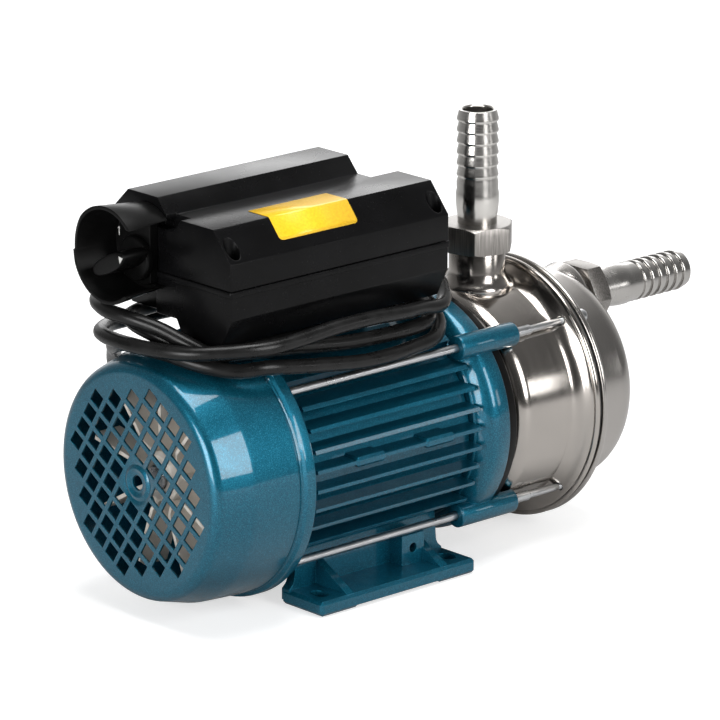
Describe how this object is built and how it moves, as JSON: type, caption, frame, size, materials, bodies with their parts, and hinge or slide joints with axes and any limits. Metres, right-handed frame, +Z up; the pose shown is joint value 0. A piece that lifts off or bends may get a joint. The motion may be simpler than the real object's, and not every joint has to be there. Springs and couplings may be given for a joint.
{
  "type": "transfer pump",
  "caption": "Electric transfer pump: a finned motor on feet, with a control box, a rotary switch and a fan cover, drives a stainless pump head with hose barbs.",
  "frame": {"origin": "on the floor, under the middle of the pump's bounding box without its cord", "axes": "+X along the motor's axis towards the suction port, +Z up, the near side faces -Y"},
  "size_m": [0.3526, 0.166, 0.2049],
  "materials": {
    "teal_enamel": "satin metallic enamel",
    "electrical_steel": "bare laminations",
    "enamelled_copper": "varnished winding",
    "machined_steel": "ground",
    "zinc_plate": "zinc plated",
    "cream_plastic": "moulded, plain",
    "stainless": "pressed and polished",
    "carbon": "lapped",
    "rubber": "moulded",
    "black_plastic": "fine grain, slight sheen",
    "cord_sheath": "smooth sheath",
    "brass": "plain"
  },
  "bodies": {
    "root": {"fan_cover": "teal_enamel", "rear_shield": "teal_enamel", "motor_frame": "teal_enamel", "front_flange": "teal_enamel", "stator_core": "electrical_steel", "coil_end_rear": "enamelled_copper", "coil_end_front": "enamelled_copper", "rear_bearing_outer": "machined_steel", "front_bearing_outer": "machined_steel", "tie_rod_1": "zinc_plate", "tie_rod_2": "zinc_plate", "tie_rod_3": "zinc_plate", "tie_rod_4": "zinc_plate", "pump_stud_1": "zinc_plate", "pump_stud_2": "zinc_plate", "pump_stud_3": "zinc_plate", "pump_stud_4": "zinc_plate", "stud_nut_1": "zinc_plate", "stud_nut_2": "zinc_plate", "stud_nut_3": "zinc_plate", "stud_nut_4": "zinc_plate", "box_screw_1": "zinc_plate", "box_screw_2": "zinc_plate", "box_screw_3": "zinc_plate", "box_screw_4": "zinc_plate", "run_capacitor": "zinc_plate", "rear_casing": "stainless", "front_cover": "stainless", "wear_plate": "stainless", "discharge_barb": "stainless", "suction_barb": "stainless", "seal_seat": "carbon", "casing_gasket": "rubber", "spacer_ring": "rubber", "box_gasket": "rubber", "box_base": "black_plastic", "box_lid": "black_plastic", "switch_body": "black_plastic", "switch_collar": "black_plastic", "cord_gland": "black_plastic", "plug_body": "black_plastic", "mains_cord": "cord_sheath", "plug_pin_1": "brass", "plug_pin_2": "brass"},
    "rotor": {"motor_shaft": "machined_steel", "rotor_core": "electrical_steel", "cooling_fan": "cream_plastic", "impeller": "stainless", "impeller_nut": "stainless", "rear_bearing_inner": "machined_steel", "front_bearing_inner": "machined_steel", "seal_head": "carbon"},
    "knob": {"switch_knob": "black_plastic"}
  },
  "joints": [
    {"name": "rotor_spin", "type": "hinge", "parent": "root", "child": "rotor", "pos_m": [-0.06265, 0, 0.065], "axis": [1, 0, 0], "continuous": true},
    {"name": "knob_turn", "type": "hinge", "parent": "root", "child": "knob", "pos_m": [-0.15565, 0.019, 0.164], "axis": [1, 0, 0], "range_deg": [-60, 60]}
  ]
}
